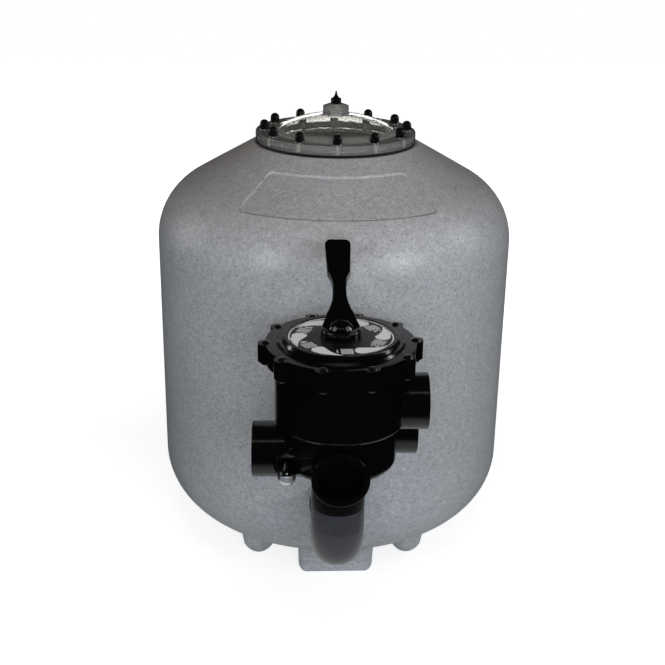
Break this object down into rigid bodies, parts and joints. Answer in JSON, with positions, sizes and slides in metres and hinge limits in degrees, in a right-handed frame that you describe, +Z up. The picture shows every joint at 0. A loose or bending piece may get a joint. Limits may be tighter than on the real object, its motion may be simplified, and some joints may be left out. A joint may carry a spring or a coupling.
{
  "type": "canister filter",
  "caption": "Pressure filter tank for ponds and aquariums with a clear bolted lid, a side-mounted multiport valve with a lever handle, pipe elbow and sight glass.",
  "frame": {"origin": "the tank's axis at floor level", "axes": "+Z up along the tank's axis; -Y towards the valve and its handle; +X towards the pump's port"},
  "size_m": [0.6, 0.857, 0.7845],
  "materials": {
    "tank_plastic": "rotomoulded, fine orange peel, speckled blue grey",
    "ring_plastic": "stiff moulded plastic, dark grey",
    "clear_plastic": "clear moulded acrylic",
    "seal_rubber": "black sealing rubber",
    "black_plastic": "injection moulded, semi-gloss black",
    "cap_plastic": "moulded black caps",
    "pipe_plastic": "dark grey pressure pipe",
    "insert_brass": "turned brass",
    "stainless": "stainless steel",
    "spring_steel": "drawn spring wire",
    "inner_plastic": "off-white moulded plastic",
    "dial_face": "printed label plate",
    "washer_plastic": "slippery black washer plastic"
  },
  "bodies": {
    "filter": {"tank_shell": "tank_plastic", "neck_ring": "ring_plastic", "lid_inserts": "insert_brass", "lid_studs": "stainless", "lid_washers": "stainless", "lid_nuts": "cap_plastic", "lid_gasket": "seal_rubber", "lid": "clear_plastic", "inlet_bulkhead": "black_plastic", "inlet_gasket": "seal_rubber", "inlet_nut": "black_plastic", "outlet_bulkhead": "black_plastic", "outlet_gasket": "seal_rubber", "outlet_nut": "black_plastic", "inlet_riser": "inner_plastic", "outlet_pipe": "inner_plastic", "inlet_diffuser": "inner_plastic", "collector_hub": "inner_plastic", "laterals": "inner_plastic", "elbow": "pipe_plastic", "valve_body": "black_plastic", "spider_gasket": "seal_rubber", "valve_cover": "black_plastic", "cover_oring": "seal_rubber", "cover_screws": "stainless", "cover_nuts": "stainless", "dial_plate": "dial_face", "sight_glass": "clear_plastic", "sight_ring": "black_plastic", "sight_oring": "seal_rubber"},
    "selector": {"handle_washer": "washer_plastic", "spring_washer_upper": "washer_plastic"},
    "rotor": {"rotor": "black_plastic", "stem_orings": "seal_rubber", "handle_pin": "stainless", "spring_washer_lower": "washer_plastic", "rotor_spring": "spring_steel"},
    "handle": {"handle": "black_plastic"},
    "bleed_seal": {"bleed_oring": "seal_rubber"},
    "bleed": {"bleed_plug": "cap_plastic"}
  },
  "joints": [
    {"name": "selector_turn", "type": "hinge", "parent": "filter", "child": "selector", "pos_m": [0, -0.446, 0.524], "axis": [0, 0, 1], "continuous": true},
    {"name": "rotor_lift", "type": "slide", "parent": "selector", "child": "rotor", "axis": [0, 0, 1], "range_m": [0, 0.006], "stiffness_N_per_m": 2630, "springref_m": -0.002, "deforming": ["rotor_spring"]},
    {"name": "handle_press", "type": "hinge", "parent": "rotor", "child": "handle", "pos_m": [0, -0.446, 0.5331], "axis": [-0.9997, -0.0262, 0], "range_deg": [0, 12]},
    {"name": "bleed_lift", "type": "slide", "parent": "filter", "child": "bleed_seal", "axis": [0, 0, 1], "range_m": [0, 0.0031]},
    {"name": "bleed_turn", "type": "hinge", "parent": "bleed_seal", "child": "bleed", "pos_m": [0, 0, 0.764], "axis": [0, 0, 1], "range_deg": [0, 720]}
  ],
  "couplings": [
    {"joint": "rotor_lift", "follows": "handle_press", "m_per_rad": 0.0272},
    {"joint": "bleed_lift", "follows": "bleed_turn", "m_per_rad": 0.00023873}
  ]
}
